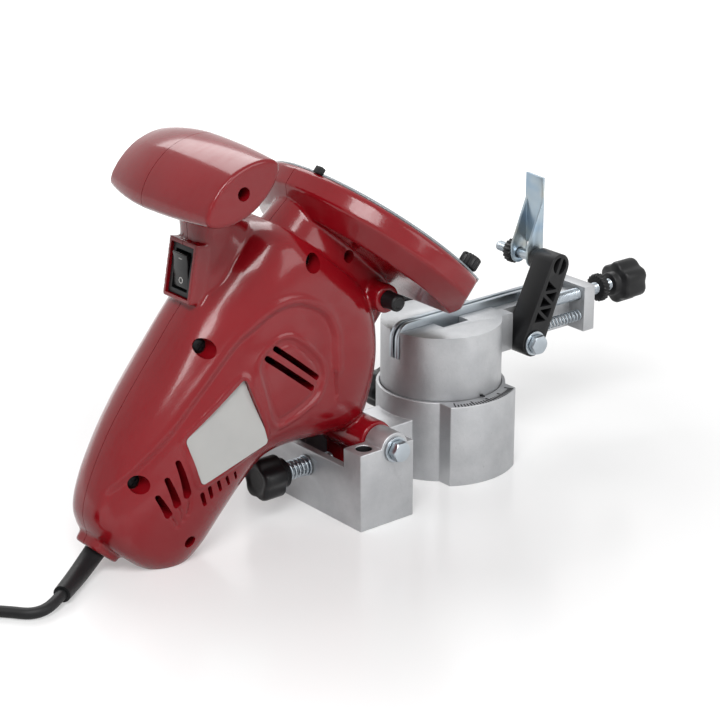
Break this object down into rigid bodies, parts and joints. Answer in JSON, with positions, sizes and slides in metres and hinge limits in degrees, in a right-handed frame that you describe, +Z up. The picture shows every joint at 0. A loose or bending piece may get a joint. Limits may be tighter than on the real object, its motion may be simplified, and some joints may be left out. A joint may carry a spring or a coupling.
{
  "type": "electric chainsaw sharpener",
  "caption": "Bench-mounted electric chainsaw sharpener: tilting grinding head with T-grip, switch and guard over a swivelling chain vise with an adjustable stop, and a coiled mains lead.",
  "frame": {"origin": "on the bench under the swivel axis of the chain vise", "axes": "+Z up, +Y to the hinge block and the motor tail, +X to the knob side of the vise"},
  "size_m": [0.12, 0.5059, 0.1906],
  "materials": {
    "red_plastic": "glossy deep red moulding",
    "black_plastic": "satin black moulding",
    "cast_aluminium": "cast, fine grain, machined faces",
    "zinc_steel": "bright zinc plate",
    "dark_steel": "dark machined steel",
    "grinding_grit": "open abrasive grain",
    "smoked_cover": "smoked grey sheet",
    "silver_plate": "bare silver plate",
    "black_rubber": "matt black rubber",
    "carbon": "pressed carbon"
  },
  "bodies": {
    "base": {"base_casting": "cast_aluminium", "pivot_bolt": "zinc_steel", "pivot_washer_near": "zinc_steel", "pivot_washer_far": "zinc_steel", "pivot_nut": "zinc_steel", "depth_washer": "zinc_steel", "depth_spring": "zinc_steel", "cord_lead": "black_rubber", "cord_coil": "black_rubber", "cord_end": "black_rubber", "plug": "black_rubber"},
    "vise": {"vise_turret": "cast_aluminium", "rail_fixed": "zinc_steel", "stop_arm_bolt": "zinc_steel", "stop_arm_washer": "zinc_steel", "stop_return_spring": "zinc_steel"},
    "jaw": {"rail_jaw": "zinc_steel"},
    "clamp": {"clamp_screw": "zinc_steel", "clamp_knob": "black_plastic"},
    "swivel_lock": {"swivel_lock_screw": "zinc_steel", "swivel_lock_knob": "black_plastic"},
    "stop_arm_body": {"stop_arm": "black_plastic", "stop_pin": "zinc_steel"},
    "pawl": {"stop_pawl": "zinc_steel"},
    "pawl_nut_body": {"pawl_nut": "black_plastic"},
    "feed_screw_body": {"feed_screw": "zinc_steel"},
    "feed_knob_body": {"feed_knob": "black_plastic"},
    "feed_lock_nut_body": {"feed_lock_nut": "black_plastic"},
    "depth": {"depth_screw": "zinc_steel", "depth_knob": "black_plastic"},
    "head": {"housing_near": "red_plastic", "housing_far": "red_plastic", "label_plate": "silver_plate", "guard_cover": "smoked_cover", "switch_body": "black_plastic", "motor_stator": "dark_steel", "motor_brush_near": "carbon", "motor_brush_far": "carbon", "spindle_bearing_front": "zinc_steel", "spindle_bearing_rear": "zinc_steel", "motor_bearing_front": "zinc_steel", "motor_bearing_rear": "zinc_steel", "drive_belt": "black_rubber", "lock_spring": "zinc_steel", "strain_relief": "black_rubber"},
    "cover_screw_body": {"cover_screw": "black_plastic"},
    "lock_button_body": {"lock_button": "black_plastic"},
    "rocker": {"switch_rocker": "black_plastic"},
    "motor": {"motor_rotor": "dark_steel", "motor_fan": "black_plastic", "motor_pulley": "dark_steel"},
    "wheel_spindle": {"spindle": "dark_steel", "spindle_pulley": "dark_steel", "grinding_wheel": "grinding_grit", "wheel_flange_front": "zinc_steel", "wheel_flange_rear": "zinc_steel", "wheel_nut": "zinc_steel"}
  },
  "joints": [
    {"name": "vise_swivel", "type": "hinge", "parent": "base", "child": "vise", "pos_m": [0, 0, 0], "axis": [0, 0, 1], "range_deg": [-35, 35]},
    {"name": "jaw_slide", "type": "slide", "parent": "vise", "child": "jaw", "axis": [-1, 0, 0], "range_m": [0, 0.0009]},
    {"name": "clamp_turn", "type": "hinge", "parent": "vise", "child": "clamp", "pos_m": [0.032, -0.008, 0.0665], "axis": [1, 0, 0], "range_deg": [0, 324]},
    {"name": "swivel_lock_turn", "type": "hinge", "parent": "base", "child": "swivel_lock", "pos_m": [0.036, 0, 0.022], "axis": [1, 0, 0], "range_deg": [-180, 180]},
    {"name": "feed_knob_turn", "type": "hinge", "parent": "feed_screw_body", "child": "feed_knob_body", "pos_m": [-0.013, -0.1, 0.07], "axis": [0, 1, 0], "range_deg": [0, 540]},
    {"name": "feed_screw_travel", "type": "slide", "parent": "vise", "child": "feed_screw_body", "axis": [0, 1, 0], "range_m": [0, 0.0015]},
    {"name": "feed_lock_nut_turn", "type": "hinge", "parent": "vise", "child": "feed_lock_nut_body", "pos_m": [-0.013, -0.092, 0.07], "axis": [0, 1, 0], "range_deg": [-30, 30]},
    {"name": "stop_arm_swing", "type": "hinge", "parent": "vise", "child": "stop_arm_body", "pos_m": [-0.015, -0.04, 0.0555], "axis": [1, 0, 0], "range_deg": [-6, 0]},
    {"name": "pawl_swing", "type": "hinge", "parent": "stop_arm_body", "child": "pawl", "pos_m": [0.0015, -0.056, 0.0908], "axis": [1, 0, 0], "range_deg": [-10, 100]},
    {"name": "pawl_nut_turn", "type": "hinge", "parent": "stop_arm_body", "child": "pawl_nut_body", "pos_m": [0.01, -0.056, 0.0908], "axis": [1, 0, 0], "range_deg": [-180, 180]},
    {"name": "depth_screw_turn", "type": "hinge", "parent": "base", "child": "depth", "pos_m": [-0.004, 0.098, 0.02], "axis": [0, 1, 0], "range_deg": [-180, 180]},
    {"name": "head_tilt", "type": "hinge", "parent": "base", "child": "head", "pos_m": [0, 0.0652, 0.0357], "axis": [1, 0, 0], "range_deg": [0, 5.5], "deforming": ["cord_lead"]},
    {"name": "cover_screw_turn", "type": "hinge", "parent": "head", "child": "cover_screw_body", "pos_m": [-0.05, 0.02962, 0.11644], "axis": [0, 0.6639, -0.7478], "range_deg": [-180, 180]},
    {"name": "lock_button_press", "type": "slide", "parent": "head", "child": "lock_button_body", "axis": [1, 0, 0], "range_m": [0, 0.004], "stiffness_N_per_m": 350, "springref_m": -0.006, "deforming": ["lock_spring"]},
    {"name": "switch_rock", "type": "hinge", "parent": "head", "child": "rocker", "pos_m": [0, 0.14568, 0.12611], "axis": [1, 0, 0], "range_deg": [0, 13]},
    {"name": "motor_spin", "type": "hinge", "parent": "head", "child": "motor", "pos_m": [0, 0.12577, 0.08948], "axis": [0, 0.6639, -0.7478], "continuous": true},
    {"name": "wheel_spin", "type": "hinge", "parent": "head", "child": "wheel_spindle", "pos_m": [0, 0.09429, 0.06153], "axis": [0, 0.6639, -0.7478], "continuous": true}
  ],
  "couplings": [
    {"joint": "clamp_turn", "follows": "jaw_slide", "rad_per_m": 6283.1},
    {"joint": "feed_knob_turn", "follows": "feed_screw_travel", "rad_per_m": 6283.1},
    {"joint": "stop_arm_swing", "follows": "feed_screw_travel", "rad_per_m": -68.97},
    {"joint": "wheel_spin", "follows": "motor_spin", "ratio": 0.4}
  ]
}
